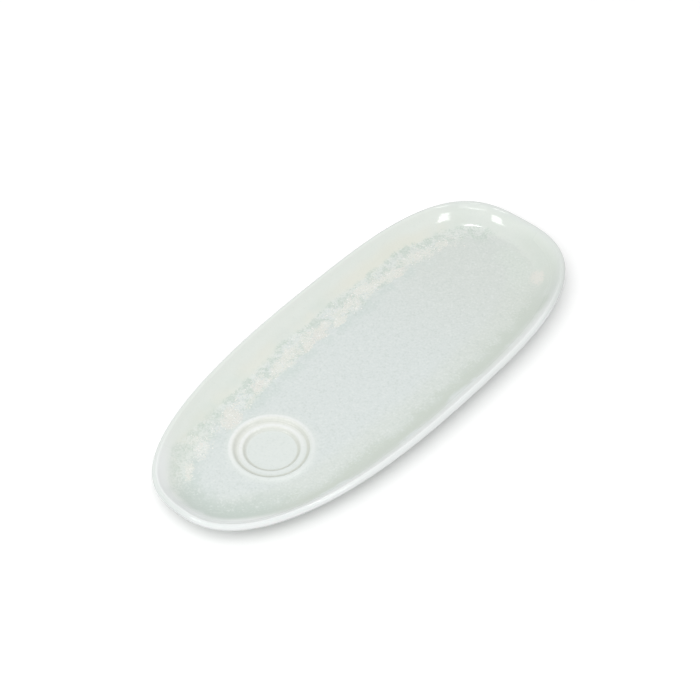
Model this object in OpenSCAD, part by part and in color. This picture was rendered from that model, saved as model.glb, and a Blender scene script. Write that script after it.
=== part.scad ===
/* [Plan] */
// Length over the lip
plate_l = 360; // [320:5:400]
// Width over the lip
plate_w = 151.5; // [140:0.5:165]
// Distance of the widest place from the middle, towards the far end
widest_x = 28; // [10:1:40]
// Bluntness of the end with the bowl seat, where 2 is an ellipse
seat_end_power = 2.53; // [2.3:0.01:2.7]
// Bluntness of the far end, where 2 is an ellipse
far_end_power = 2.92; // [2.5:0.01:3.1]
// Distance that both ends lean to one side
end_lean = 3.6; // [0:0.1:6]

/* [Wall and floor] */
// Height over everything
plate_h = 19; // [17:0.5:24]
// Thickness of the floor with its glaze
floor_t = 5; // [4.5:0.1:6]
// Width of the sloping wall, from the edge of the lip to where the floor is level
wall_run = 26; // [22:0.5:27]
// Thickness of the rounded lip
lip_t = 4.4; // [3.6:0.1:5.4]
// Steepness of the inner wall where it meets the lip, in degrees
inner_slope = 52; // [46:1:58]
// Steepness of the outer wall where it meets the lip, in degrees
outer_slope = 52; // [48:1:58]

/* [Foot] */
// Height of the standing ring
foot_h = 3; // [2.5:0.1:4]
// Width of the standing ring
foot_w = 5; // [4:0.5:6]
// Distance of the ring's outer side from the edge of the lip
foot_inset = 27; // [25:0.5:28]
// Bevel along both lower edges of the ring
foot_bevel = 1; // [0.4:0.1:1.4]
// Flat underside between the outer wall and the ring
foot_shelf = 3; // [2:0.5:5]

/* [Seat for the dip bowl] */
// Distance of the seat's centre from the nearer end
seat_from_end = 83; // [76:1:100]
// Diameter of the flat disc that the bowl's foot stands on
disc_d = 33.6; // [28:0.2:38]
// Height of the lower step
lower_step_h = 1.6; // [1:0.1:1.8]
// Height of the upper step
upper_step_h = 1.3; // [0.8:0.1:1.6]
// Horizontal run of each step
step_run = 2.7; // [2:0.1:4]
// Width of the level ledge between the steps
ledge_w = 3.9; // [2:0.1:5]
// Height of the soft swelling round the seat
collar_h = 0.35; // [0.1:0.05:0.8]
// Width of the soft swelling round the seat
collar_w = 5; // [3:0.5:5.5]
// Depth of the boss under the seat, which keeps the floor thick there
boss_h = 1.6; // [1:0.1:2]

/* [Glaze] */
// Thickness of the glaze coats
glaze_t = 0.4; // [0.3:0.05:0.6]
// Thickness of the crystal band over the glaze
crystal_t = 0.3; // [0.2:0.05:0.5]
// Spacing of the rows that the crystal band spreads over
crystal_row = 3; // [2.5:0.1:3]
// Reach of the crystal band up the wall, as a number of wall steps
crystal_climb = 2; // [1:1:3]

/* [Hidden] */

// Points round the plan, and steps along each curve of the section
stations = 80;
wall_steps = 8;
lip_steps = 4;
outer_steps = 7;
step_points = 6;
collar_points = 4;
floor_rows = 3;
round_fn = 96;
// The lean grows with the cube of the distance from the middle
lean_power = 3;
// Where the crystal band starts and ends, as shares of the way round from the far end
band_start_share = 0.1;
band_end_share = 0.425;

// Heights of the visible faces, and the centre of the lip's round section
under_z = foot_h;
floor_z = foot_h + floor_t;
lip_r = lip_t/2;
lip_z = plate_h - lip_r;
// Height of the clay under its glaze
clay_under_z = under_z + glaze_t;

// Seat: centre and radii of its rings
seat_x = seat_from_end - plate_l/2;
disc_r = disc_d/2;
ledge_in_r = disc_r + step_run;
ledge_out_r = ledge_in_r + ledge_w;
crest_r = ledge_out_r + step_run;
seat_r = crest_r + collar_w;
disc_z = floor_z - upper_step_h - lower_step_h;
ledge_z = floor_z - upper_step_h;
crest_z = floor_z + collar_h;
boss_r = crest_r + step_run/2;
// Overrun of the seat's cut above the clay
cut_over = collar_h + glaze_t;
// Level land round the collar, where the seat's glaze runs into the floor's
seat_land = 2*glaze_t;

// Plan at a distance inside the edge of the lip: two half superellipses that meet at the widest
// place, leaning at the ends
function plan_power(t) = cos(t) >= 0 ? far_end_power : seat_end_power;
function plan_reach(t) = plate_l/2 + (cos(t) >= 0 ? -widest_x : widest_x);
function plan_scale(t) =
    let (p = plan_power(t))
    pow(pow(abs(cos(t)), p) + pow(abs(sin(t)), p), -1/p);
function lean_at(x) = end_lean*pow(abs(x)/(plate_l/2), lean_power);
function plan_point(t, inset) =
    let (k = plan_scale(t), x = widest_x + (plan_reach(t) - inset)*cos(t)*k)
    [x, (plate_w/2 - inset)*sin(t)*k + lean_at(x)];
function station_angle(i) = 360*i/stations;
function ring_2d(inset) = [for (i = [0:stations - 1]) plan_point(station_angle(i), inset)];
function ring_3d(p) = [for (q = ring_2d(p[0])) [q[0], q[1], p[1]]];

// Section of the visible surface as [inset, height], from the floor over the lip to the foot
function lip_at(a) = [lip_r + lip_r*sin(a), lip_z + lip_r*cos(a)];
function curve(from, to, slope, u) =
    let (run = from[0] - to[0], rise = to[1] - from[1])
    [from[0] - run*u, from[1] + rise*pow(u, tan(slope)*run/rise)];
wall_foot = [wall_run, floor_z];
wall_top = lip_at(inner_slope);
outer_foot = [foot_inset - foot_shelf, under_z];
outer_top = lip_at(outer_slope - 180);
inside_section = concat(
    [for (j = [floor_rows:-1:1]) [wall_run + j*crystal_row, floor_z]],
    [for (k = [0:wall_steps - 1]) curve(wall_foot, wall_top, inner_slope, k/wall_steps)],
    [for (k = [0:lip_steps - 1]) lip_at(inner_slope*(1 - k/lip_steps))],
    [for (k = [0:lip_steps]) lip_at(-90*k/lip_steps)]);
outside_section = concat(
    [lip_at(-90 - (90 - outer_slope)/2)],
    [for (k = [outer_steps:-1:0]) curve(outer_foot, outer_top, outer_slope, k/outer_steps)],
    [[foot_inset, under_z]]);
visible_section = concat(inside_section, outside_section);
lip_index = len(inside_section) - 1;

// The same section moved along its normals into the clay or out over the glaze
function last(list) = len(list) - 1;
function section_normal(s, i) =
    let (d = s[min(i + 1, last(s))] - s[max(i - 1, 0)])
    [d[1], -d[0]]/norm(d);
function moved(s, depth) = [for (i = [0:last(s)]) s[i] - depth*section_normal(s, i)];
clay_section = moved(visible_section, glaze_t);
function part_of(list, a, b) = [for (i = [a:b]) list[i]];
function reversed(list) = [for (i = [last(list):-1:0]) list[i]];

// Two triangles between ring k and ring m at station i, with one diagonal whichever way they run
function cell(s, k, m, i) =
    let (j = (i + 1) % stations,
         a = k*stations + i, b = m*stations + i,
         c = m*stations + j, d = k*stations + j)
    s[k][0] >= s[m][0] ? [[a, b, c], [a, c, d]] : [[a, b, d], [b, c, d]];
function ring_ids(k) = [for (i = [0:stations - 1]) k*stations + i];
function all_points(s) = [for (p = s) each ring_3d(p)];

// Solid between two level faces, from a section that runs outwards, up and back inwards
module closed_loft(s) {
    polyhedron(all_points(s), concat(
        [ring_ids(0), reversed(ring_ids(last(s)))],
        [for (k = [0:last(s) - 1], i = [0:stations - 1]) each cell(s, k, k + 1, i)]));
}

// Ring-shaped solid from a section that runs round its own outline in the same sense
module band_loft(s) {
    polyhedron(all_points(s),
        [for (k = [0:last(s)], i = [0:stations - 1]) each cell(s, k, (k + 1) % len(s), i)]);
}

// Section of the seat as [radius, height], with soft steps
function soft(u) = (1 - cos(180*u))/2;
function step(r0, z0, r1, z1, n) = [for (k = [0:n]) [r0 + (r1 - r0)*k/n, z0 + (z1 - z0)*soft(k/n)]];
seat_section = concat(
    [[0, disc_z]],
    step(disc_r, disc_z, ledge_in_r, ledge_z, step_points),
    step(ledge_out_r, ledge_z, crest_r, crest_z, step_points),
    part_of(step(crest_r, crest_z, seat_r, floor_z, collar_points), 1, collar_points));
boss_section = concat(
    [[0, under_z - boss_h]],
    step(boss_r - step_run, under_z - boss_h, boss_r, under_z, step_points));
function lowered(s, depth) = [for (p = s) [p[0], p[1] - depth]];
function up_to_crest(s) = [for (p = s) if (p[0] <= crest_r) p];

module at_seat() {
    translate([seat_x, 0, 0]) children();
}

// Solid of revolution between an upper section and a lower one
module turned(upper, lower) {
    rotate_extrude($fn = round_fn) polygon(concat(lower, reversed(upper)));
}

module plate_body() {
    seat_clay = lowered(seat_section, glaze_t);
    boss_clay = lowered(boss_section, -glaze_t);
    color("#dcd6c8") difference() {
        union() {
            closed_loft(reversed(clay_section));
            at_seat() turned(seat_clay, concat(boss_clay, [[seat_r, clay_under_z]]));
        }
        at_seat() turned([[0, floor_z + cut_over], [crest_r, floor_z + cut_over]], up_to_crest(seat_clay));
    }
}

module foot_ring() {
    color("#cfc4ae") {
        translate([0, 0, foot_bevel]) linear_extrude(clay_under_z - foot_bevel) difference() {
            polygon(ring_2d(foot_inset));
            polygon(ring_2d(foot_inset + foot_w));
        }
        band_loft([
            [foot_inset + foot_w - foot_bevel, 0], [foot_inset + foot_bevel, 0],
            [foot_inset, foot_bevel], [foot_inset + foot_w, foot_bevel]]);
    }
}

module well_glaze() {
    color("#d3e0d8") {
        difference() {
            closed_loft(concat(
                part_of(clay_section, 0, lip_index),
                reversed(part_of(visible_section, 0, lip_index))));
            at_seat() translate([0, 0, floor_z - glaze_t - cut_over])
                cylinder(r = seat_r, h = glaze_t + 2*cut_over, $fn = round_fn);
        }
        seat = concat(seat_section, [[seat_r + seat_land, floor_z]]);
        at_seat() turned(seat, lowered(seat, glaze_t));
    }
}

module back_glaze() {
    color("#dbe6df") {
        band_loft(concat(
            reversed(part_of(visible_section, lip_index, last(visible_section))),
            part_of(clay_section, lip_index, last(clay_section))));
        translate([0, 0, under_z]) linear_extrude(glaze_t) difference() {
            polygon(ring_2d(foot_inset + foot_w));
            translate([seat_x, 0]) circle(r = boss_r, $fn = round_fn);
        }
        at_seat() turned(lowered(boss_section, -glaze_t), boss_section);
    }
}

// Crystal band: cells of the wall's own grid, from the row first_row to the row end_row at each station
band_from = round(stations*band_start_share);
band_to = round(stations*band_end_share);
function ripple(i, a, b) = sin(i*a) + sin(i*b);
function first_row(i) = round(ripple(i, 47, 101)/4 + 0.5);
function end_row(i) = floor_rows + crystal_climb + round(ripple(i, 71, 139)/4);
function in_band(i, k) = i >= band_from && i < band_to && k >= first_row(i) && k < end_row(i);
function crystal_faces(n) = [
    for (i = [band_from:band_to - 1], k = [first_row(i):end_row(i) - 1])
    let (j = i + 1, a = k*stations + i, b = a + stations, c = b + 1, d = a + 1)
    each concat(
        [[a + n, c + n, b + n], [a + n, d + n, c + n], [a, b, c], [a, c, d]],
        in_band(i, k - 1) ? [] : [[a, d + n, a + n], [a, d, d + n]],
        in_band(i, k + 1) ? [] : [[b, b + n, c + n], [b, c + n, c]],
        in_band(i - 1, k) ? [] : [[a, a + n, b + n], [a, b + n, b]],
        in_band(i + 1, k) ? [] : [[d, c + n, d + n], [d, c, c + n]])];

module crystal_glaze() {
    rows = part_of(visible_section, 0, floor_rows + wall_steps);
    lifted = part_of(moved(visible_section, -crystal_t), 0, floor_rows + wall_steps);
    color("#e6dccb") difference() {
        polyhedron(
            concat(all_points(rows), all_points(lifted)),
            crystal_faces(len(rows)*stations));
        at_seat() translate([0, 0, floor_z - crystal_t])
            cylinder(r = seat_r, h = 3*crystal_t, $fn = round_fn);
    }
}

plate_body();
foot_ring();
well_glaze();
back_glaze();
crystal_glaze();
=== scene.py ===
"""Asparagus plate: smooth glaze coats, melted crystals, bare foot ring, soft studio and camera.

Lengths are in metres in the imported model's frame: X along the plate, away from the bowl seat, Y towards
the side with the crystal band, Z up, and the origin under the middle.
"""
import logging
import math
from collections.abc import Iterable, Sequence
from dataclasses import dataclass, field
from enum import Enum
from typing import ClassVar

import bpy
import numpy as np
from mathutils import Matrix, Quaternion, Vector


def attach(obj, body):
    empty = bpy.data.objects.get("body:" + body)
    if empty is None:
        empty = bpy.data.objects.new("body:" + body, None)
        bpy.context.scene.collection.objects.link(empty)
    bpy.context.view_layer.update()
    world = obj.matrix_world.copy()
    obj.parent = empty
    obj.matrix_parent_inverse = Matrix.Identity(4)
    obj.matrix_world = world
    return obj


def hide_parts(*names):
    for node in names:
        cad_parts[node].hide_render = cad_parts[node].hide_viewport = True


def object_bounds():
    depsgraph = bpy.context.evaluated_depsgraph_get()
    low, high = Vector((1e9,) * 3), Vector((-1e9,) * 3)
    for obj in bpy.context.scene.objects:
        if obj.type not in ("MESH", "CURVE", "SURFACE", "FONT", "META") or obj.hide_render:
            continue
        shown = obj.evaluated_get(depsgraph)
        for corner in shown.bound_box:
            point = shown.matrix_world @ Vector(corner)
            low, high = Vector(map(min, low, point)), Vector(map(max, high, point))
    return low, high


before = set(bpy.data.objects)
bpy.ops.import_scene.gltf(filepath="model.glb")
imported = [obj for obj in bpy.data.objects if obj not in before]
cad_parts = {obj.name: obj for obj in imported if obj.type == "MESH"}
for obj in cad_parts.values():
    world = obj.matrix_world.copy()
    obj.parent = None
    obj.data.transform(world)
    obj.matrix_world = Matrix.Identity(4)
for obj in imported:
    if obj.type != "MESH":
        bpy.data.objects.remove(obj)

MM = 0.001
BODY = "root"
CAD_LOW, CAD_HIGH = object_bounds()

RIM = "rim"
BLEND = "blend"
TONE = "tone"

Pair = tuple[float, float]
Band = tuple[float, float, float, float]
Colour = tuple[float, float, float, float]
Socket = bpy.types.NodeSocket
Value = Socket | float | int | tuple

log = logging.getLogger("plate")


def colour(red: float, green: float, blue: float) -> Colour:
    """Turns a display colour into the linear one that the shaders take.

    Args:
        red: Red, from 0 to 255.
        green: Green, from 0 to 255.
        blue: Blue, from 0 to 255.

    Returns:
        The same colour in linear light, opaque.
    """
    parts = (part/255 for part in (red, green, blue))
    linear = (part/12.92 if part <= 0.04045 else ((part + 0.055)/1.055)**2.4 for part in parts)
    return (*linear, 1.0)


def band(start: float, rise: float, fall: float, end: float) -> Band:
    """Gives in metres, from millimetres, where a band starts, is whole, begins to fade and ends."""
    return start*MM, rise*MM, fall*MM, end*MM


class Graph:
    """Adds nodes to a shader tree or a geometry tree and links what they are given."""

    def __init__(self, tree: bpy.types.NodeTree) -> None:
        """Starts on an empty or growing tree."""
        self.tree = tree

    def feed(self, socket: Socket, value: Value) -> None:
        """Links a socket to another one, or sets its own value.

        Args:
            socket: The input that is fed.
            value: The output or the plain value that it gets.
        """
        if isinstance(value, Socket):
            self.tree.links.new(value, socket)
        else:
            socket.default_value = value

    def node(self, kind: str, inputs: dict[str | int, Value] | None = None,
             **settings: object) -> bpy.types.Node:
        """Adds one node.

        Args:
            kind: Blender's name of the node type.
            inputs: What goes into its sockets, by name or index.
            **settings: Its properties.

        Returns:
            The new node.
        """
        made = self.tree.nodes.new(kind)
        for name, value in settings.items():
            setattr(made, name, value)
        for key, value in (inputs or {}).items():
            self.feed(made.inputs[key], value)
        return made

    def math(self, operation: str, *values: Value) -> Socket:
        """Puts numbers through one operation."""
        return self.node("ShaderNodeMath", dict(enumerate(values)), operation=operation).outputs[0]

    def vector(self, operation: str, *values: Value) -> bpy.types.Node:
        """Puts vectors through one operation and gives the node, whose outputs differ by operation."""
        return self.node("ShaderNodeVectorMath", dict(enumerate(values)), operation=operation)

    def chain(self, operation: str, values: Sequence[Value]) -> Value:
        """Joins any number of values by one operation.

        Args:
            operation: Blender's name of the operation.
            values: The values, of which there is at least one.

        Returns:
            The result.
        """
        result = values[0]
        for value in values[1:]:
            result = self.math(operation, result, value)
        return result

    def add(self, *values: Value) -> Value:
        """Adds any number of values."""
        return self.chain("ADD", values)

    def times(self, *values: Value) -> Value:
        """Multiplies any number of values."""
        return self.chain("MULTIPLY", values)

    def most(self, *values: Value) -> Value:
        """Gives the largest of any number of values."""
        return self.chain("MAXIMUM", values)

    def less(self, value: Value, taken: Value) -> Socket:
        """Takes one value from another."""
        return self.math("SUBTRACT", value, taken)

    def rest(self, share: Value) -> Socket:
        """Gives what a share leaves of the whole."""
        return self.math("SUBTRACT", 1.0, share)

    def over(self, value: Value, divisor: Value) -> Socket:
        """Divides one value by another."""
        return self.math("DIVIDE", value, divisor)

    def power(self, value: Value, exponent: Value) -> Socket:
        """Raises a value to a power."""
        return self.math("POWER", value, exponent)

    def ramp(self, value: Value, low: Value, high: Value) -> Socket:
        """Runs softly from 0 where the value is low to 1 where it is high. Low may be the larger number."""
        inputs = {"Value": value, "From Min": low, "From Max": high}
        return self.node("ShaderNodeMapRange", inputs, interpolation_type="SMOOTHSTEP").outputs[0]

    def hill(self, value: Value, start: float, rise: float, fall: float, end: float) -> Socket:
        """Is 1 between rise and fall, and runs softly to 0 at start and end."""
        return self.times(self.ramp(value, start, rise), self.ramp(value, end, fall))

    def ridge(self, value: Value, middle: float, flat: float, reach: float) -> Socket:
        """Is 1 as far as flat to either side of a middle, and runs softly to 0 at its reach."""
        return self.hill(value, middle - reach, middle - flat, middle + flat, middle + reach)

    def mix(self, share: Value, first: Value, second: Value) -> Socket:
        """Mixes two colours: the first where the share is 0, the second where it is 1."""
        return self.node("ShaderNodeMix", {0: share, 6: first, 7: second}, data_type="RGBA").outputs[2]

    def noise(self, where: Value, grain: float, detail: float, seed: float, warp: float = 0.0) -> Socket:
        """Gives cloudy noise.

        Args:
            where: The place that it is read at.
            grain: Size of its largest forms.
            detail: How many finer layers it has.
            seed: Picks another pattern of the same kind.
            warp: How far it is distorted.

        Returns:
            Its value, around a half.
        """
        inputs = {"Vector": where, "W": seed, "Scale": 1/grain, "Detail": detail, "Distortion": warp}
        return self.node("ShaderNodeTexNoise", inputs, noise_dimensions="4D").outputs[0]

    def stray(self, where: Value, grain: float, detail: float, seed: float, width: float) -> Socket:
        """Gives cloudy noise around 0, which spreads over a width in all."""
        return self.times(self.less(self.noise(where, grain, detail, seed), 0.5), width)

    def split(self, vector: Value) -> list[Socket]:
        """Gives the three parts of a vector."""
        return list(self.node("ShaderNodeSeparateXYZ", {0: vector}).outputs)

    def join(self, *parts: Value) -> Socket:
        """Makes a vector of three parts."""
        return self.node("ShaderNodeCombineXYZ", dict(enumerate(parts))).outputs[0]

    def flat(self, place: Value) -> Socket:
        """Drops the height from a place."""
        x, y, _ = self.split(place)
        return self.join(x, y, 0.0)

    def object_place(self) -> Socket:
        """Gives a material the place on the piece."""
        return self.node("ShaderNodeTexCoord").outputs["Object"]

    def stored(self, name: str, output: str) -> Socket:
        """Gives a material a value that is stored on the piece."""
        return self.node("ShaderNodeAttribute", attribute_name=name).outputs[output]

    def bump(self, height: Value) -> Socket:
        """Gives the normal of a surface that a height raises."""
        return self.node("ShaderNodeBump", {"Strength": 1.0, "Distance": 1.0, "Height": height}).outputs[0]


@dataclass(frozen=True)
class Cloud:
    """One pattern of cloudy patches: its noise, and the levels between which they fade in."""

    grain: float
    seed: float
    low: float
    high: float
    detail: float = 2.0
    warp: float = 0.0

    def mask(self, g: Graph, where: Value) -> Socket:
        """Gives where the patches lie, from 0 to 1."""
        return g.ramp(g.noise(where, self.grain, self.detail, self.seed, self.warp), self.low, self.high)


def fresh_graph(owner: bpy.types.Material | bpy.types.World) -> Graph:
    """Starts an empty shader tree.

    Args:
        owner: The material or world that the tree is for.

    Returns:
        Its graph.
    """
    owner.use_nodes = True
    owner.node_tree.nodes.clear()
    return Graph(owner.node_tree)


def new_group(name: str, kind: str, inputs: Sequence[tuple[str, str]],
              outputs: Sequence[tuple[str, str]]) -> tuple[Graph, bpy.types.Node, bpy.types.Node]:
    """Starts a node group with named sockets.

    Args:
        name: Name of the group.
        kind: "ShaderNodeTree" or "GeometryNodeTree".
        inputs: Name and type of each input.
        outputs: Name and type of each output.

    Returns:
        The graph, its input node and its output node.
    """
    tree = bpy.data.node_groups.new(name, kind)
    for in_out, sockets in (("INPUT", inputs), ("OUTPUT", outputs)):
        for label, socket in sockets:
            tree.interface.new_socket(label, in_out=in_out, socket_type=f"NodeSocket{socket}")
    graph = Graph(tree)
    return graph, graph.node("NodeGroupInput"), graph.node("NodeGroupOutput")


def run_nodes(base: bpy.types.Mesh, name: str, tree: bpy.types.NodeTree,
              values: dict[str, object]) -> bpy.types.Object:
    """Runs a geometry tree on a mesh and keeps its result as a plain mesh.

    Args:
        base: The mesh that the tree starts from.
        name: Name of the finished piece.
        tree: The geometry tree.
        values: What its named inputs are set to.

    Returns:
        The finished piece, with no modifier left on it.
    """
    piece = bpy.data.objects.new(name, base)
    bpy.context.scene.collection.objects.link(piece)
    modifier = piece.modifiers.new(tree.name, "NODES")
    modifier.node_group = tree
    for item in tree.interface.items_tree:
        if item.in_out == "INPUT" and item.name in values:
            modifier[item.identifier] = values[item.name]
    graph = bpy.context.evaluated_depsgraph_get()
    mesh = bpy.data.meshes.new_from_object(
        piece.evaluated_get(graph), preserve_all_data_layers=True, depsgraph=graph)
    piece.modifiers.remove(modifier)
    piece.data = mesh
    mesh.name = name
    bpy.data.meshes.remove(base)
    return piece


def points_of(mesh: bpy.types.Mesh) -> np.ndarray:
    """Reads the points of a mesh.

    Args:
        mesh: The mesh.

    Returns:
        One row a point.
    """
    points = np.zeros(len(mesh.vertices)*3)
    mesh.vertices.foreach_get("co", points)
    return points.reshape(-1, 3)


def face_outwards(mesh: bpy.types.Mesh) -> None:
    """Turns a closed mesh the right way out, by the sign of its volume.

    Args:
        mesh: The mesh.
    """
    mesh.calc_loop_triangles()
    corners = np.zeros(len(mesh.loop_triangles)*3, int)
    mesh.loop_triangles.foreach_get("vertices", corners)
    a, b, c = points_of(mesh)[corners].reshape(-1, 3, 3).transpose(1, 0, 2)
    if np.einsum("ij,ij->i", a, np.cross(b, c)).sum() < 0:
        mesh.flip_normals()


@dataclass(frozen=True)
class Plan:
    """Plan of the plate at any distance inside its lip: two half superellipses that lean at the ends."""

    length: float = CAD_HIGH.x - CAD_LOW.x
    width: float = CAD_HIGH.y - CAD_LOW.y
    widest_x: float = 28*MM
    seat_end_power: float = 2.53
    far_end_power: float = 2.92
    end_lean: float = 3.6*MM
    lean_power: float = 3.0
    outermost: float = -2*MM
    core: float = 1*MM
    halvings: int = 40

    def lean(self, x: np.ndarray) -> np.ndarray:
        """Distance that the middle of the plate leans to one side at x."""
        return self.end_lean*np.abs(2*x/self.length)**self.lean_power

    def reach(self, x: np.ndarray) -> np.ndarray:
        """Distance from the widest place to the end that x lies towards."""
        return self.length/2 + np.where(x >= self.widest_x, -self.widest_x, self.widest_x)

    def shares(self, x: np.ndarray, y: np.ndarray,
               inset: np.ndarray) -> tuple[np.ndarray, np.ndarray, np.ndarray]:
        """Gives a place as shares of the half length and half width that the plan has at an inset.

        Args:
            x: Places along the plate.
            y: Places across it.
            inset: Distance of the plan inside the edge of the lip.

        Returns:
            The share along, the share across, and the size of the pair, which is 1 on the plan itself.
        """
        power = np.where(x >= self.widest_x, self.far_end_power, self.seat_end_power)
        along = (x - self.widest_x)/(self.reach(x) - inset)
        across = (y - self.lean(x))/(self.width/2 - inset)
        return along, across, np.abs(along)**power + np.abs(across)**power

    def rim_places(self, x: np.ndarray, y: np.ndarray) -> np.ndarray:
        """Finds how far inside the lip each place is, and the point of the edge that it belongs to.

        Args:
            x: Places along the plate.
            y: Places across it.

        Returns:
            One row a place: x and y of the edge, and the distance inside it.
        """
        low, high = np.full(x.shape, self.outermost), np.full(x.shape, self.width/2 - self.core)
        for _ in range(self.halvings):
            middle = (low + high)/2
            inside = self.shares(x, y, middle)[2] < 1
            low, high = np.where(inside, middle, low), np.where(inside, high, middle)
        along, across, _ = self.shares(x, y, low)
        edge_x = self.widest_x + self.reach(x)*along
        return np.stack([edge_x, self.width/2*across + self.lean(edge_x), low], axis=1)


@dataclass(frozen=True)
class Ring:
    """One ring of a section that is carried round the plate."""

    inset: float
    height: float
    radius: float = 0.0
    blend: float = 1.0


@dataclass(frozen=True)
class PlateForm:
    """Sizes of the plate's section, as its solids have them, and the curves that they give."""

    height: float = CAD_HIGH.z
    floor_thickness: float = 5*MM
    wall_run: float = 26*MM
    lip_thickness: float = 4.4*MM
    inner_slope: float = math.radians(52)
    outer_slope: float = math.radians(52)
    foot_height: float = 3*MM
    foot_width: float = 5*MM
    foot_inset: float = 27*MM
    foot_bevel: float = 1*MM
    foot_shelf: float = 3*MM
    seat_from_end: float = 83*MM
    disc_radius: float = 16.8*MM
    lower_step: float = 1.6*MM
    upper_step: float = 1.3*MM
    step_run: float = 2.7*MM
    ledge_width: float = 3.9*MM
    collar_height: float = 0.35*MM
    collar_width: float = 5*MM
    boss_depth: float = 1.6*MM
    glaze: float = 0.4*MM
    disc_rings: int = 4

    @property
    def seat_x(self) -> float:
        """Place of the seat's centre along the plate."""
        return CAD_LOW.x + self.seat_from_end

    @property
    def floor_z(self) -> float:
        """Height of the level floor."""
        return self.foot_height + self.floor_thickness

    @property
    def lip_radius(self) -> float:
        """Radius of the lip's round section."""
        return self.lip_thickness/2

    @property
    def ledge_in(self) -> float:
        """Inner radius of the seat's ledge."""
        return self.disc_radius + self.step_run

    @property
    def ledge_out(self) -> float:
        """Outer radius of the seat's ledge."""
        return self.ledge_in + self.ledge_width

    @property
    def crest(self) -> float:
        """Radius of the highest ring round the seat."""
        return self.ledge_out + self.step_run

    @property
    def seat_radius(self) -> float:
        """Radius at which the seat's collar meets the level floor."""
        return self.crest + self.collar_width

    @property
    def boss_radius(self) -> float:
        """Outer radius of the boss under the seat."""
        return self.crest + self.step_run/2

    def lip_at(self, turn: float, depth: float = 0.0) -> Pair:
        """Gives a point of the lip's round section.

        Args:
            turn: Angle from straight up, towards the inside.
            depth: Distance under the surface.

        Returns:
            Its inset and its height.
        """
        radius = self.lip_radius - depth
        return self.lip_radius + radius*math.sin(turn), self.height - self.lip_radius + radius*math.cos(turn)

    @staticmethod
    def curve(start: Pair, end: Pair, slope: float, share: float) -> Pair:
        """Gives a point of a wall that starts level and ends at a slope.

        Args:
            start: Inset and height of its foot.
            end: Inset and height of its top.
            slope: Angle at its top.
            share: Part of the way from foot to top.

        Returns:
            Its inset and its height.
        """
        run, rise = start[0] - end[0], end[1] - start[1]
        return start[0] - run*share, start[1] + rise*share**(math.tan(slope)*run/rise)

    def inner_wall(self, share: float, depth: float = 0.0) -> Pair:
        """Point of the inner wall, part of the way up, at a depth under its surface."""
        foot, top = (self.wall_run + depth/2, self.floor_z - depth), self.lip_at(self.inner_slope, depth)
        return self.curve(foot, top, self.inner_slope, share)

    def outer_wall(self, share: float, depth: float = 0.0) -> Pair:
        """Point of the outer wall, part of the way up, at a depth under its surface."""
        foot = (self.foot_inset - self.foot_shelf + depth, self.foot_height + depth)
        return self.curve(foot, self.lip_at(self.outer_slope - math.pi, depth), self.outer_slope, share)

    @staticmethod
    def step(start: Pair, end: Pair, count: int) -> list[Pair]:
        """Runs from one radius and height to another in a soft step, with the start left out."""
        shares = [(k/count, (1 - math.cos(math.pi*k/count))/2) for k in range(1, count + 1)]
        return [(start[0] + (end[0] - start[0])*u, start[1] + (end[1] - start[1])*s) for u, s in shares]

    def disc(self, radius: float, height: float) -> list[Pair]:
        """Gives even rings of a level disc, from its centre to its edge."""
        return [(radius*k/self.disc_rings, height) for k in range(self.disc_rings + 1)]

    def seat_profile(self, detail: int) -> list[Pair]:
        """Gives the upper face of the seat.

        Args:
            detail: Number of points along each step.

        Returns:
            Radius and height of each ring, from the centre to the level floor.
        """
        ledge_z, crest_z = self.floor_z - self.upper_step, self.floor_z + self.collar_height
        disc = (self.disc_radius, ledge_z - self.lower_step)
        ledge = (self.ledge_in, ledge_z), (self.ledge_out, ledge_z)
        crest, edge = (self.crest, crest_z), (self.seat_radius, self.floor_z)
        return [*self.disc(*disc), *self.step(disc, ledge[0], detail), ledge[1],
                *self.step(ledge[1], crest, detail), *self.step(crest, edge, detail)]

    def boss_profile(self, detail: int) -> list[Pair]:
        """Gives the lower face of the boss under the seat.

        Args:
            detail: Number of points along its step.

        Returns:
            Radius and height of each ring, from the centre to the flat underside.
        """
        low = (self.boss_radius - self.step_run, self.foot_height - self.boss_depth)
        return [*self.disc(*low), *self.step(low, (self.boss_radius, self.foot_height), detail)]


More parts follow.
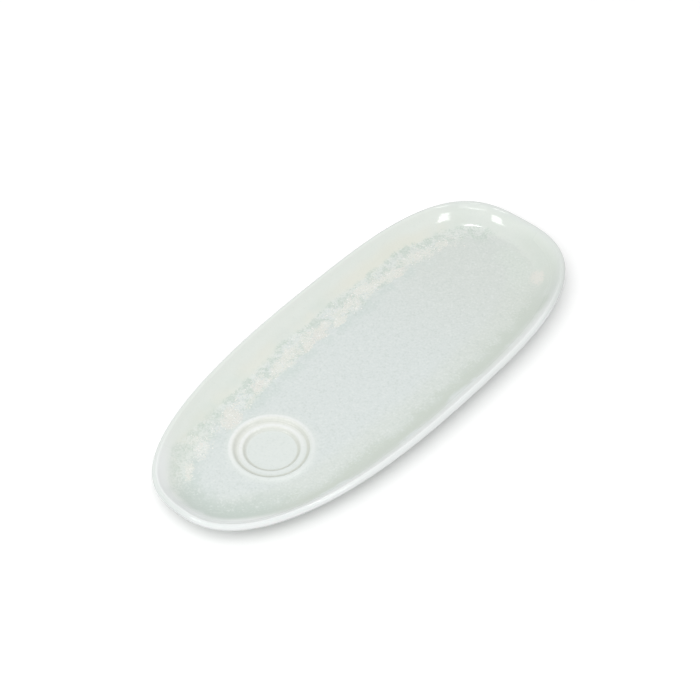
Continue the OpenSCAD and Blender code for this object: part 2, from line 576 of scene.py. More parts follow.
class PlanSweep:
    """Geometry Nodes tree that carries a section round the plan, and round the seat's circle inside it."""

    def __init__(self, plan: Plan, form: PlateForm, stations: int = 360, aim_inset: float = 34*MM,
                 weld: float = 0.01*MM) -> None:
        """Builds the tree once for every piece that it makes.

        Args:
            plan: Plan of the plate.
            form: Sizes of its section.
            stations: Number of places round the plan.
            aim_inset: Distance inside the lip of the points that the seat's rings face.
            weld: Points closer than this become one.
        """
        self.plan, self.form, self.stations = plan, form, stations
        self.aim_inset, self.weld = aim_inset, weld
        self.tree = self._tree()

    def _tree(self) -> bpy.types.NodeTree:
        """Builds the tree.

        Returns:
            The geometry tree, with named inputs for its sizes.
        """
        sizes = ("Length", "Width", "Widest Place", "Seat End Power", "Far End Power", "End Lean",
                 "Lean Power", "Seat Centre", "Aim Inset", "Weld")
        g, given, out = new_group(
            "plan_sweep", "GeometryNodeTree",
            [("Section", "Geometry"), ("Stations", "Int"), *((name, "Float") for name in sizes),
             ("Finish", "Material")],
            [("Geometry", "Geometry")])
        size = given.outputs

        count = g.node("GeometryNodeAttributeDomainSize", {0: size["Section"]}).outputs["Point Count"]
        columns = g.add(size["Stations"], 1)
        grid = g.node("GeometryNodeMeshGrid", {"Vertices X": columns, "Vertices Y": count}).outputs["Mesh"]
        index = g.node("GeometryNodeInputIndex").outputs[0]
        ring = g.math("MODULO", index, count)
        station = g.math("FLOOR", g.over(index, count))
        turn = g.over(g.times(station, 2*math.pi), size["Stations"])

        def of_ring(value: Value, kind: str) -> Socket:
            """Reads a value of the section at this point's ring."""
            inputs = {"Geometry": size["Section"], "Value": value, "Index": ring}
            return g.node("GeometryNodeSampleIndex", inputs, data_type=kind).outputs[0]

        section = of_ring(g.node("GeometryNodeInputPosition").outputs[0], "FLOAT_VECTOR")
        inset, radius, height = g.split(section)
        stored = g.node("GeometryNodeInputNamedAttribute", {"Name": BLEND}, data_type="FLOAT").outputs[0]
        blend = of_ring(stored, "FLOAT")
        cosine, sine = g.math("COSINE", turn), g.math("SINE", turn)
        far = g.math("GREATER_THAN", cosine, 0.0)
        near = g.rest(far)
        power = g.add(g.times(size["Far End Power"], far), g.times(size["Seat End Power"], near))
        half_length, half_width = g.times(size["Length"], 0.5), g.times(size["Width"], 0.5)
        reach = g.add(half_length, g.times(size["Widest Place"], g.less(near, far)))
        whole = g.add(*(g.power(g.math("ABSOLUTE", part), power) for part in (cosine, sine)))
        scale = g.power(whole, g.over(-1.0, power))

        def plan_point(at: Value) -> Socket:
            """Gives a point of the plan.

            Args:
                at: Its distance inside the edge of the lip.

            Returns:
                The point, at no height.
            """
            x = g.add(size["Widest Place"], g.times(g.less(reach, at), cosine, scale))
            lean = g.power(g.over(g.math("ABSOLUTE", x), half_length), size["Lean Power"])
            y = g.add(g.times(g.less(half_width, at), sine, scale), g.times(lean, size["End Lean"]))
            return g.join(x, y, 0.0)

        centre = g.join(size["Seat Centre"], 0.0, 0.0)
        way = g.vector("SUBTRACT", plan_point(size["Aim Inset"]), centre).outputs[0]
        aim = g.vector("NORMALIZE", way).outputs[0]
        arm = g.node("ShaderNodeVectorMath", {0: aim, "Scale": radius}, operation="SCALE").outputs[0]
        ends = {0: blend, 4: g.vector("ADD", centre, arm).outputs[0], 5: plan_point(inset)}
        place = g.node("ShaderNodeMix", ends, data_type="VECTOR").outputs[1]
        lifted = g.vector("ADD", place, g.join(0.0, 0.0, height)).outputs[0]
        swept = g.node("GeometryNodeSetPosition", {"Geometry": grid, "Position": lifted}).outputs[0]
        joint = {"Geometry": swept, "Distance": size["Weld"]}
        welded = g.node("GeometryNodeMergeByDistance", joint).outputs[0]
        smooth = g.node("GeometryNodeSetShadeSmooth", {"Geometry": welded}).outputs[0]
        real = g.node("GeometryNodeRealizeInstances", {"Geometry": smooth}).outputs[0]
        dressed = g.node("GeometryNodeSetMaterial", {"Geometry": real, "Material": size["Finish"]})
        g.feed(out.inputs[0], dressed.outputs[0])
        return g.tree

    def piece(self, name: str, rings: Sequence[Ring], finish: bpy.types.Material | None,
              crease: float = math.radians(50)) -> bpy.types.Object:
        """Carries a section round the plate.

        Args:
            name: Name of the piece.
            rings: The section.
            finish: Its material.
            crease: Edges that turn by more than this stay sharp.

        Returns:
            The finished piece, marked with its place from the rim.
        """
        base = bpy.data.meshes.new(f"{name}_section")
        points = [(ring.inset, ring.radius, ring.height) for ring in rings]
        base.from_pydata(points, [(k, k + 1) for k in range(len(rings) - 1)], [])
        blends = base.attributes.new(BLEND, "FLOAT", "POINT")
        blends.data.foreach_set("value", [ring.blend for ring in rings])
        plan = self.plan
        piece = run_nodes(base, name, self.tree, {
            "Stations": self.stations, "Length": plan.length, "Width": plan.width,
            "Widest Place": plan.widest_x, "Seat End Power": plan.seat_end_power,
            "Far End Power": plan.far_end_power, "End Lean": plan.end_lean,
            "Lean Power": plan.lean_power, "Seat Centre": self.form.seat_x,
            "Aim Inset": self.aim_inset, "Weld": self.weld, "Finish": finish})
        face_outwards(piece.data)
        piece.data.set_sharp_from_angle(angle=crease)
        self.mark_rim(piece.data)
        return piece

    def mark_rim(self, mesh: bpy.types.Mesh) -> None:
        """Stores with each point the point of the edge that it belongs to and how far inside it lies.

        Args:
            mesh: The mesh of a finished piece.
        """
        x, y, _ = points_of(mesh).T
        places = self.plan.rim_places(x, y)
        mesh.attributes.new(RIM, "FLOAT_VECTOR", "POINT").data.foreach_set("vector", places.ravel())


class Tint(Enum):
    """Colours that the melted crystals come in."""

    CREAM = "cream"
    PINK = "pink"
    WHITE = "white"


@dataclass(frozen=True)
class Bloom:
    """One patch where the reactive glaze has crystallised."""

    x: float
    y: float
    length: float
    width: float
    turn: float = 0.0
    tint: Tint = Tint.CREAM

    def mask(self, g: Graph, x: Value, y: Value, softness: float) -> Socket:
        """Builds the patch as a soft ellipse.

        Args:
            g: The shader or geometry tree.
            x: Place along the plate.
            y: Place across it.
            softness: Share of its size over which it fades.

        Returns:
            How thickly its crystals lie, from 0 to 1.
        """
        cosine, sine = math.cos(math.radians(self.turn)), math.sin(math.radians(self.turn))
        dx, dy = g.less(x, self.x), g.less(y, self.y)
        along = g.add(g.times(dx, 2*cosine/self.length), g.times(dy, 2*sine/self.length))
        across = g.add(g.times(dx, -2*sine/self.width), g.times(dy, 2*cosine/self.width))
        away = g.add(g.power(along, 2.0), g.power(across, 2.0))
        return g.ramp(away, 1.0 + softness, 1.0 - softness)


BLOOMS = (
    Bloom(-96*MM, 37*MM, 21*MM, 13*MM, 40, Tint.PINK),
    Bloom(-63*MM, 43*MM, 12*MM, 7*MM, 20, Tint.PINK),
    Bloom(-43*MM, 45*MM, 14*MM, 7*MM, 20),
    Bloom(-31*MM, 47*MM, 15*MM, 8*MM, 35),
    Bloom(-12*MM, 43*MM, 15*MM, 8*MM, 10, Tint.PINK),
    Bloom(2*MM, 45*MM, 18*MM, 9*MM, 25, Tint.PINK),
    Bloom(19*MM, 42*MM, 15*MM, 7*MM, 0),
    Bloom(34*MM, 48*MM, 17*MM, 7*MM, 15),
    Bloom(58*MM, 49*MM, 30*MM, 7*MM, -12),
    Bloom(73*MM, 45*MM, 19*MM, 7*MM, -10),
    Bloom(84*MM, 42*MM, 13*MM, 6*MM, 0, Tint.PINK),
    Bloom(106*MM, 43*MM, 13*MM, 6*MM, 20, Tint.PINK),
    Bloom(128*MM, 38*MM, 12*MM, 6*MM, -20),
    Bloom(-146*MM, 27*MM, 15*MM, 7*MM, 40),
    Bloom(-128*MM, 33*MM, 18*MM, 9*MM, 30, Tint.WHITE),
    Bloom(144*MM, -37*MM, 15*MM, 10*MM, 35, Tint.PINK),
)


@dataclass(frozen=True)
class BloomField:
    """Where the crystals lie, worked out alike for the glaze's colour and for the crystals themselves."""

    blooms: Sequence[Bloom] = BLOOMS
    ragged: float = 5*MM
    ragged_grain: float = 7*MM
    softness: float = 0.8
    trail_inset: float = 29*MM
    trail_width: float = 16*MM
    trail_share: float = 0.78
    trail_patches: Cloud = Cloud(9*MM, 12.4, 0.38, 0.58)
    band_side: Pair = (38*MM, 68*MM)
    end_draw: float = 9*MM
    drawn_end: Pair = (-110*MM, -160*MM)
    wander: float = 10*MM
    wander_grain: float = 30*MM

    def band_inset(self, g: Graph, place: Value, rim: Value) -> Socket:
        """Gives the distance inside the lip that the band goes by, with its wander and its draw to the lip.

        Args:
            g: The shader or geometry tree.
            place: The place on the plate.
            rim: Place on the edge of the lip, and distance inside it.

        Returns:
            The distance to measure the band by.
        """
        rim_x, _, inset = g.split(rim)
        stray = g.stray(g.flat(place), self.wander_grain, 1.0, 27.0, self.wander)
        return g.add(inset, g.times(g.ramp(rim_x, *self.drawn_end), self.end_draw), stray)

    def on_band_side(self, g: Graph, rim: Value) -> Socket:
        """Is 1 along the side that the band follows."""
        return g.ramp(g.split(rim)[1], *self.band_side)

    def masks(self, g: Graph, place: Value, rim: Value) -> dict[Tint, Value]:
        """Builds one mask for each tint.

        Args:
            g: The shader or geometry tree.
            place: The place on the plate.
            rim: Place on the edge of the lip, and distance inside it.

        Returns:
            How thickly the crystals of each tint lie, from 0 to 1.
        """
        flat = g.flat(place)
        drift = [g.stray(flat, self.ragged_grain, 3.0, seed, 2*self.ragged) for seed in (3.1, 8.7)]
        x, y = (g.add(part, by) for part, by in zip(g.split(place), drift))
        found: dict[Tint, Value] = {}
        for bloom in self.blooms:
            found.setdefault(bloom.tint, 0.0)
            found[bloom.tint] = g.most(found[bloom.tint], bloom.mask(g, x, y, self.softness))
        half = self.trail_width/2
        strip = g.ridge(g.add(self.band_inset(g, place, rim), drift[1]), self.trail_inset, half/3, half)
        trail = g.times(strip, self.trail_patches.mask(g, flat), self.on_band_side(g, rim), self.trail_share)
        found[Tint.CREAM] = g.most(found[Tint.CREAM], trail)
        return found


def granule_group(bare: float = 0.68, gain: float = 0.36, edge: float = 0.05,
                  detail: float = 1.5) -> bpy.types.NodeTree:
    """Builds the group of small grains that every surface of the plate has in some measure.

    Args:
        bare: Level of the noise above which grains show where there is next to no cover.
        gain: How much full cover lowers that level.
        edge: Half the width of a grain's soft edge.
        detail: How many finer layers the noise has.

    Returns:
        A group with the inputs Place, Grain, Seed and Cover and the outputs Mask and Level.
    """
    g, given, out = new_group(
        "granules", "ShaderNodeTree",
        [("Place", "Vector"), ("Grain", "Float"), ("Seed", "Float"), ("Cover", "Float")],
        [("Mask", "Float"), ("Level", "Float")])
    scale = g.over(1.0, given.outputs["Grain"])
    inputs = {"Vector": given.outputs["Place"], "W": given.outputs["Seed"], "Scale": scale, "Detail": detail}
    level = g.node("ShaderNodeTexNoise", inputs, noise_dimensions="4D").outputs[0]
    limit = g.less(bare, g.times(given.outputs["Cover"], gain))
    g.feed(out.inputs["Mask"], g.ramp(level, g.less(limit, edge), g.add(limit, edge)))
    g.feed(out.inputs["Level"], level)
    return g.tree


def skin_group(wave_grain: float = 14*MM, peel_grain: float = 1.6*MM,
               dulling: float = 0.3) -> bpy.types.NodeTree:
    """Builds the group that gives fired glaze its fine unevenness.

    Args:
        wave_grain: Size of its broad waves.
        peel_grain: Size of its fine ripple.
        dulling: How much rougher it is where it is fully dull.

    Returns:
        A group with the inputs Place, Wave, Peel, Gloss and Dull and the outputs Normal and Roughness.
    """
    g, given, out = new_group(
        "glaze_skin", "ShaderNodeTree",
        [("Place", "Vector"), ("Wave", "Float"), ("Peel", "Float"), ("Gloss", "Float"), ("Dull", "Float")],
        [("Normal", "Vector"), ("Roughness", "Float")])
    place = given.outputs["Place"]
    wave = g.times(g.noise(place, wave_grain, 1.0, 1.3), given.outputs["Wave"])
    peel = g.times(g.noise(place, peel_grain, 2.0, 5.2), given.outputs["Peel"])
    g.feed(out.inputs["Normal"], g.bump(g.add(wave, peel)))
    g.feed(out.inputs["Roughness"], g.add(given.outputs["Gloss"], g.times(given.outputs["Dull"], dulling)))
    return g.tree


@dataclass(frozen=True)
class GroupKit:
    """The shared shader groups, built once."""

    granules: bpy.types.NodeTree = field(default_factory=granule_group)
    skin: bpy.types.NodeTree = field(default_factory=skin_group)

    def grains(self, g: Graph, place: Value, grain: float, cover: Value, seed: float) -> bpy.types.Node:
        """Places the granule group and gives the node."""
        inputs = {"Place": place, "Grain": grain, "Seed": seed, "Cover": cover}
        return g.node("ShaderNodeGroup", inputs, node_tree=self.granules)

    def glaze_skin(self, g: Graph, place: Value, wave: float, peel: float, gloss: float,
                   dull: Value) -> dict[str, Value]:
        """Places the skin group.

        Args:
            g: The material's tree.
            place: The place on the piece.
            wave: Height of the glaze's broad waves.
            peel: Height of its fine ripple.
            gloss: Roughness where it is not dull.
            dull: How dull it is, from 0 up.

        Returns:
            What it feeds in the shader.
        """
        inputs = {"Place": place, "Wave": wave, "Peel": peel, "Gloss": gloss, "Dull": dull}
        made = g.node("ShaderNodeGroup", inputs, node_tree=self.skin)
        return {"Normal": made.outputs["Normal"], "Roughness": made.outputs["Roughness"]}


@dataclass(frozen=True)
class Finish:
    """What every finish has: its name, the shared groups, its gloss and how it is built."""

    name: str
    kit: GroupKit
    ior: ClassVar[float] = 1.5
    wave: ClassVar[float] = 0.10*MM
    peel: ClassVar[float] = 0.006*MM
    gloss: ClassVar[float] = 0.08

    def build(self) -> bpy.types.Material:
        """Makes the material round one principled shader.

        Returns:
            The material.
        """
        material = bpy.data.materials.new(self.name)
        g = fresh_graph(material)
        shader = g.node("ShaderNodeBsdfPrincipled", {"IOR": self.ior})
        for socket, value in self.surface(g).items():
            g.feed(shader.inputs[socket], value)
        g.feed(g.node("ShaderNodeOutputMaterial").inputs["Surface"], shader.outputs[0])
        return material

    def surface(self, g: Graph) -> dict[str, Value]:
        """Builds what changes over the surface and gives it by socket."""
        raise NotImplementedError

    def skin(self, g: Graph, place: Value, dull: Value = 0.0) -> dict[str, Value]:
        """Gives what the glaze's fine unevenness feeds in the shader."""
        return self.kit.glaze_skin(g, place, self.wave, self.peel, self.gloss, dull)


class Layers:
    """Colours laid over one another in one material."""

    def __init__(self, g: Graph, ground: Value) -> None:
        """Starts with the ground colour."""
        self.g, self.shade = g, ground

    def lay(self, tone: Value, *shares: Value) -> None:
        """Lays a colour over the others by the product of its shares."""
        self.shade = self.g.mix(self.g.times(*shares), self.shade, tone)


@dataclass(frozen=True)
class Clay(Finish):
    """Fired clay, as it is under the glaze and bare on the foot."""

    ior: ClassVar[float] = 1.45
    body: Colour = colour(222, 213, 197)
    grit: Colour = colour(176, 158, 133)
    scorch: Colour = colour(201, 184, 157)
    scorch_patches: Cloud = Cloud(22*MM, 4.0, 0.35, 0.7, detail=3.0)
    grit_size: float = 0.5*MM
    grit_cover: float = 0.34
    grit_depth: float = 0.05*MM
    grit_share: float = 0.55
    roughness: float = 0.72
    grit_roughness: float = 0.25

    def surface(self, g: Graph) -> dict[str, Value]:
        """Builds its colour, roughness and grit.

        Args:
            g: The material's tree.

        Returns:
            What feeds each socket of the shader.
        """
        place = g.object_place()
        grains = self.kit.grains(g, place, self.grit_size, self.grit_cover, seed=2.0).outputs
        plain = g.mix(self.scorch_patches.mask(g, place), self.body, self.scorch)
        return {"Base Color": g.mix(g.times(grains["Mask"], self.grit_share), plain, self.grit),
                "Roughness": g.add(self.roughness, g.times(grains["Level"], self.grit_roughness)),
                "Normal": g.bump(g.times(grains["Level"], self.grit_depth))}


@dataclass(frozen=True)
class Spot:
    """What the pattern of the glaze goes by at each point of the plate."""

    place: Socket
    rim: Socket
    x: Socket
    rim_x: Socket
    rim_y: Socket
    inset: Socket
    edge: Socket
    far_side: Socket
    near_side: Socket
    far_end: Socket
    seat_end: Socket

    @classmethod
    def read(cls, g: Graph, unevenness: float = 9*MM, grain: float = 26*MM) -> "Spot":
        """Reads it in a material's tree.

        Args:
            g: The material's tree.
            unevenness: How far the bands along the rim stray to either side in all.
            grain: Length over which they stray.

        Returns:
            The place, the distance inside the lip as it is and made uneven, and masks of the four sides.
        """
        place, rim = g.object_place(), g.stored(RIM, "Vector")
        rim_x, rim_y, inset = g.split(rim)
        edge = g.add(inset, g.stray(place, grain, 2.0, 2.0, unevenness))
        return cls(place, rim, g.split(place)[0], rim_x, rim_y, inset, edge,
                   far_side=g.ramp(rim_y, -5*MM, 32*MM), near_side=g.ramp(rim_y, 15*MM, -35*MM),
                   far_end=g.ramp(rim_x, 140*MM, 172*MM), seat_end=g.ramp(rim_x, -125*MM, -168*MM))


@dataclass(frozen=True)
class WellGlaze(Finish):
    """Pale reactive glaze of the inside: pools, warm runs, speckled fringe, crystals, a pale lip with painted
    light, and painted highlight and shade on the seat's rings.
    """

    blooms: BloomField
    seat_x: float
    seat_radius: float
    valleys: Pair = (17.7*MM, 24*MM)
    crests: Pair = (20.4*MM, 27.4*MM)
    ring_width: float = 1.7*MM
    halo_highlight_band: Band = band(15, 19, 26, 29)
    steep_band: Band = band(3, 4, 8, 12)
    satin_band: Band = band(14, 20, 34, 42)
    warm_band: Band = band(5, 11, 16, 22)
    warm_stretch: Band = band(10, 60, 125, 160)
    pool_band: Band = band(4, 9, 13, 28)
    olive_band: Band = band(12, 24, 30, 44)
    corner_band: Band = band(4, 9, 13, 20)
    end_band: Band = band(3, 9, 19, 30)
    turn_band: Band = band(13, 17, 23, 27)
    turn_stretch: Band = band(-165, -150, -125, -95)
    bend_band: Band = band(20, 25, 34, 44)
    teal_band: Band = band(32, 36, 39, 47)
    green_runs: Cloud = Cloud(30*MM, 4.4, 0.42, 0.62)
    warm_runs: Cloud = Cloud(26*MM, 7.0, 0.36, 0.66, warp=0.5)
    pool_patches: Cloud = Cloud(16*MM, 33.0, 0.35, 0.65, detail=3.0)
    teal_patches: Cloud = Cloud(11*MM, 23.0, 0.38, 0.56)
    clumps: Cloud = Cloud(8*MM, 16.0, 0.44, 0.58, detail=2.5, warp=0.4)
    pool_grain: float = 1.4*MM
    dark_speck: float = 1.1*MM
    light_speck: float = 1.3*MM
    bloom_grain: float = 1.2*MM
    mottle: float = 1.5*MM
    floor: Colour = colour(221, 228, 226)
    floor_far: Colour = colour(218, 224, 219)
    light_grain: Colour = colour(233, 238, 235)
    dark_grain: Colour = colour(204, 213, 208)
    wall: Colour = colour(227, 233, 227)
    wall_warm: Colour = colour(236, 235, 222)
    wall_top: Colour = colour(235, 240, 234)
    wall_green: Colour = colour(221, 230, 222)
    # Seat end's wall: glaze with painted shade, as that wall faces away from the lamps.
    end_wall_and_shade: Colour = colour(200, 211, 204)
    pool: Colour = colour(207, 215, 206)
    olive: Colour = colour(217, 223, 214)
    fringe: Colour = colour(207, 220, 209)
    fringe_dark: Colour = colour(184, 199, 188)
    fringe_light: Colour = colour(235, 240, 235)
    teal: Colour = colour(207, 219, 214)
    seat: Colour = colour(228, 234, 230)
    # Lip whites: glaze breaking white over the edge, with painted light where the lip faces away from the
    # lamps. The edge white also paints highlight on the seat's crests.
    break_white_and_highlight: Colour = colour(239, 243, 242)
    edge_white_and_highlight: Colour = colour(248, 250, 250)
    lip_pale: Colour = colour(227, 233, 230)
    lip_grey: Colour = colour(224, 229, 226)
    # Seat hollows: gathered glaze with painted shade. Halo: warm glaze with painted highlight.
    valley_glaze_and_shade: Colour = colour(203, 206, 195)
    halo_highlight: Colour = colour(235, 236, 229)
    cream: Colour = colour(233, 235, 227)
    pink: Colour = colour(231, 230, 223)
    white: Colour = colour(235, 238, 234)

    def surface(self, g: Graph) -> dict[str, Value]:
        """Builds its colour, gloss and fine relief.

        Args:
            g: The material's tree.

        Returns:
            What feeds each socket of the shader.
        """
        pattern = WellPattern(g, self)
        for layer in (pattern.wall, pattern.pools, pattern.bends, pattern.fringe, pattern.bloom_ground,
                      pattern.seat, pattern.grain, pattern.lip):
            layer()
        return {"Base Color": pattern.shade, **pattern.skin()}


class WellPattern(Layers):
    """The colours of the inner glaze, laid in groups by a method each."""

    def __init__(self, g: Graph, look: WellGlaze) -> None:
        """Reads the place on the plate and starts with the floor's colour.

        Args:
            g: The material's tree.
            look: Colours and sizes of the glaze.
        """
        self.look, self.at = look, Spot.read(g)
        self.from_seat = g.vector("DISTANCE", g.flat(self.at.place), (look.seat_x, 0.0, 0.0)).outputs["Value"]
        super().__init__(g, g.mix(g.ramp(self.at.x, 10*MM, 130*MM), look.floor, look.floor_far))

    def on_seat(self, out: float, into: float) -> Socket:
        """Runs from 0 outside the seat's edge to 1 inside it."""
        return self.g.ramp(self.from_seat, self.look.seat_radius + out, self.look.seat_radius - into)

    def grains(self, grain: float, cover: Value, seed: float) -> Socket:
        """Gives the mask of small grains of glaze."""
        return self.look.kit.grains(self.g, self.at.place, grain, cover, seed).outputs["Mask"]

    def skin(self) -> dict[str, Value]:
        """Builds the gloss and the fine relief.

        Returns:
            What they feed in the shader.
        """
        g, at, look = self.g, self.at, self.look
        steep = g.times(g.most(at.near_side, at.seat_end), g.hill(at.inset, *look.steep_band))
        satin = g.times(g.hill(at.inset, *look.satin_band), 0.3)
        dull = g.add(satin, g.times(self.on_seat(2*MM, 3*MM), 0.5), steep)
        return look.skin(g, at.place, dull)

    def wall(self) -> None:
        """Tints the wall, with broad warm and green runs that slant down it on the far side."""
        g, at, look = self.g, self.at, self.look
        slant = g.vector("MULTIPLY", at.rim, (1.0, 1.0, 0.8)).outputs[0]
        runs = g.times(look.warm_runs.mask(g, slant), g.ramp(at.edge, 5*MM, 12*MM), 0.42)
        steady = g.times(g.hill(at.rim_x, *look.warm_stretch), g.hill(at.edge, *look.warm_band), 0.6)
        tint = Layers(g, look.wall)
        tint.lay(look.wall_green, look.green_runs.mask(g, slant), 0.6)
        tint.lay(look.wall_warm, g.most(runs, steady), g.rest(g.times(at.far_end, 0.75)))
        tint.lay(look.wall_top, g.ramp(at.edge, 14*MM, 6*MM), g.rest(g.times(at.far_end, 0.6)), 0.8)
        self.lay(tint.shade, g.ramp(at.edge, 24*MM, 16*MM), g.most(at.far_side, at.far_end))

    def pools(self) -> None:
        """Darkens the foot of the near wall, where the glaze lies thick, and the seat end's wall, partly
        thick glaze and partly painted shade.
        """
        g, at, look = self.g, self.at, self.look
        edge = g.less(at.edge, g.times(look.pool_patches.mask(g, at.place), 7*MM))
        depth = g.times(at.near_side, g.hill(edge, *look.pool_band), g.ramp(at.rim_x, 170*MM, 120*MM))
        grains = self.grains(look.pool_grain, g.add(0.1, g.times(depth, 0.8)), 11.0)
        gaps = g.times(g.ramp(at.edge, 13*MM, 22*MM), g.rest(grains))
        self.lay(look.olive, at.near_side, g.hill(at.edge, *look.olive_band), 0.45)
        self.lay(look.pool, depth, g.rest(g.times(gaps, 0.65)))
        self.lay(look.pool, g.ramp(at.rim_y, 20*MM, -20*MM), g.hill(at.edge, *look.corner_band),
                 g.ramp(at.rim_x, 120*MM, 165*MM), 0.4)
        # Painted shade on the seat end's wall, which faces away from the lamps, over its thicker glaze.
        end = g.times(at.seat_end, g.hill(g.less(edge, g.times(at.near_side, 4*MM)), *look.end_band))
        middle = g.add(0.45, g.times(g.ramp(at.rim_y, 40*MM, 15*MM), 0.55))
        broken = g.add(0.8, g.times(grains, 0.2))
        self.lay(look.end_wall_and_shade, end, middle, broken, g.rest(g.times(at.near_side, 0.1)))

    def bends(self) -> None:
        """Darkens the two bends of the wall where the glaze runs together."""
        g, at, look = self.g, self.at, self.look
        self.lay(look.pool, at.far_side, g.hill(at.rim_x, *look.turn_stretch),
                 g.hill(at.inset, *look.turn_band), 0.5)
        self.lay(look.wall_green, at.far_end, g.ramp(at.rim_y, 12*MM, -12*MM),
                 g.hill(at.inset, *look.bend_band), 0.5)

    def fringe(self) -> None:
        """Adds the teal edge of the crystal band, and the clumps of green specks along the wall's foot."""
        g, at, look = self.g, self.at, self.look
        edge = g.add(look.blooms.band_inset(g, at.place, at.rim), g.less(at.edge, at.inset))
        self.lay(look.teal, at.far_side, look.teal_patches.mask(g, at.place), g.hill(edge, *look.teal_band),
                 g.ramp(at.x, 130*MM, 90*MM), 0.5)
        along = g.most(g.ramp(at.rim_y, 5*MM, 38*MM), g.times(at.far_end, 0.05))
        taper = g.times(g.ramp(at.x, 90*MM, 140*MM), -6*MM)
        inner = g.ramp(edge, g.add(38*MM, taper), g.add(31*MM, taper))
        fringe = g.times(along, g.ramp(edge, 15*MM, 20*MM), inner)
        clumps = look.clumps.mask(g, at.place)
        calm = g.add(0.5, g.times(g.ramp(at.x, -150*MM, -70*MM), 0.5))
        cover = g.times(fringe, g.add(0.25, g.times(clumps, 0.5)))
        light = self.grains(look.light_speck, g.times(fringe, 0.6), 19.0)
        dark = self.grains(look.dark_speck, cover, 15.0)
        self.lay(look.fringe, fringe, clumps, calm, 0.6)
        self.lay(look.fringe_light, fringe, light, 0.55)
        self.lay(look.fringe_dark, g.ramp(cover, 0.0, 0.3), dark, calm, 0.35)

    def bloom_ground(self) -> None:
        """Clouds the glaze in grains where the crystals lie."""
        g, at, look = self.g, self.at, self.look
        for tint, mask in look.blooms.masks(g, at.place, at.rim).items():
            grains = self.grains(look.bloom_grain, g.add(0.1, g.times(mask, 0.8)), 6.0)
            self.lay(getattr(look, tint.value), g.power(mask, 0.7), g.add(0.15, g.times(grains, 0.7)))

    def seat(self) -> None:
        """Lightens the seat, whitens its crests, lights its halo and tints its hollows, with painted
        highlight and shade by side.
        """
        g, look, away = self.g, self.look, self.from_seat
        x, y, _ = g.split(self.at.place)
        # This mask runs from the seat's near side to its far side. The crests' white is partly glaze breaking
        # white and partly painted highlight, strongest on the far side. The halo is painted highlight over a
        # warm glaze, on the far side only. The hollows' tint is partly gathered glaze and partly painted
        # shade, strongest on the near side.
        lit_side = g.ramp(g.over(g.add(g.times(g.less(x, look.seat_x), 0.5), y), away), -0.9, 0.9)
        self.lay(look.seat, self.on_seat(2*MM, 4*MM), 0.8)
        self.lay(look.halo_highlight, g.hill(away, *look.halo_highlight_band), lit_side, 0.7)
        crest, valley_glaze_and_shade = g.add(0.15, g.times(lit_side, 0.45)), g.add(0.75, g.times(lit_side, -0.4))
        steps = ((look.crests, look.edge_white_and_highlight, crest), (look.valleys, look.valley_glaze_and_shade, valley_glaze_and_shade))
        for radii, tone, share in steps:
            for radius in radii:
                self.lay(tone, g.ridge(away, radius, look.ring_width/4, look.ring_width), share)

    def grain(self) -> None:
        """Mottles the whole coat in fine light and dark grains."""
        g, at, look = self.g, self.at, self.look
        level = look.kit.grains(g, at.place, look.mottle, 0.5, 1.0).outputs["Level"]
        fading = g.add(0.4, g.times(self.on_seat(0.0, 4*MM), -0.25))
        share = g.add(0.1, g.times(g.ramp(at.edge, 15*MM, 24*MM), fading))
        self.lay(look.light_grain, g.ramp(level, 0.5, 0.75), share)
        self.lay(look.dark_grain, g.ramp(level, 0.5, 0.25), share)

    def lip(self) -> None:
        """Whitens the lip on the near side and seat end, partly glaze breaking white and partly painted
        light, and greys it thinly on the others.
        """
        g, at, look = self.g, self.at, self.look
        near = g.times(at.near_side, g.ramp(at.rim_x, 160*MM, 95*MM))
        pale, corner = g.most(near, at.seat_end), g.times(near, at.seat_end)
        # The white reaches further down the inner wall on the near side and at the seat end: painted light on
        # walls that face away from the lamps.
        reach = g.add(6.5*MM, g.times(near, 8*MM), g.times(at.seat_end, 6.5*MM), g.times(corner, -3.5*MM))
        whole = g.times(reach, g.add(0.4, g.times(near, -0.15), g.times(corner, 0.4)))
        on_side = g.times(at.far_side, g.rest(at.far_end), g.ramp(at.inset, 1.4*MM, 3.2*MM))
        inner = g.times(g.ramp(at.inset, 1.8*MM, 3.2*MM), g.add(0.85, g.times(near, 0.15)))
        white = g.mix(inner, g.mix(near, look.lip_pale, look.break_white_and_highlight), look.edge_white_and_highlight)
        tone = g.mix(pale, g.mix(on_side, look.lip_grey, look.wall_top), white)
        self.lay(tone, g.ramp(at.inset, reach, whole), g.add(0.65, g.times(pale, 0.25)))
        # Painted light on the near lip's outer lower edge, which turns down towards the shade beneath it.
        self.lay(look.edge_white_and_highlight, near, g.ramp(at.inset, 0.8*MM, 0.1*MM), 0.8)


@dataclass(frozen=True)
class BackGlaze(Finish):
    """Plain glaze of the outer wall and underside, whiter at the lip and thicker at its edge by the foot."""

    plain: Colour = colour(220, 227, 223)
    thin: Colour = colour(246, 248, 248)
    thick: Colour = colour(205, 214, 206)
    clouds: Cloud = Cloud(30*MM, 9.0, 0.35, 0.75, detail=3.0)
    speck: float = 1.1*MM
    foot_band: Band = band(19, 23.5, 26.5, 27.5)

    def surface(self, g: Graph) -> dict[str, Value]:
        """Builds its colour and skin.

        Args:
            g: The material's tree.

        Returns:
            What feeds each socket of the shader.
        """
        place = g.object_place()
        inset = g.split(g.stored(RIM, "Vector"))[2]
        specks = self.kit.grains(g, place, self.speck, 0.3, seed=21.0).outputs["Mask"]
        coat = Layers(g, self.plain)
        coat.lay(self.thick, self.clouds.mask(g, place), 0.6)
        coat.lay(self.thin, specks, 0.25)
        coat.lay(self.thick, g.hill(inset, *self.foot_band))
        coat.lay(self.thin, g.ramp(inset, 4*MM, 1*MM), 0.85)
        return {"Base Color": coat.shade, **self.skin(g, place)}


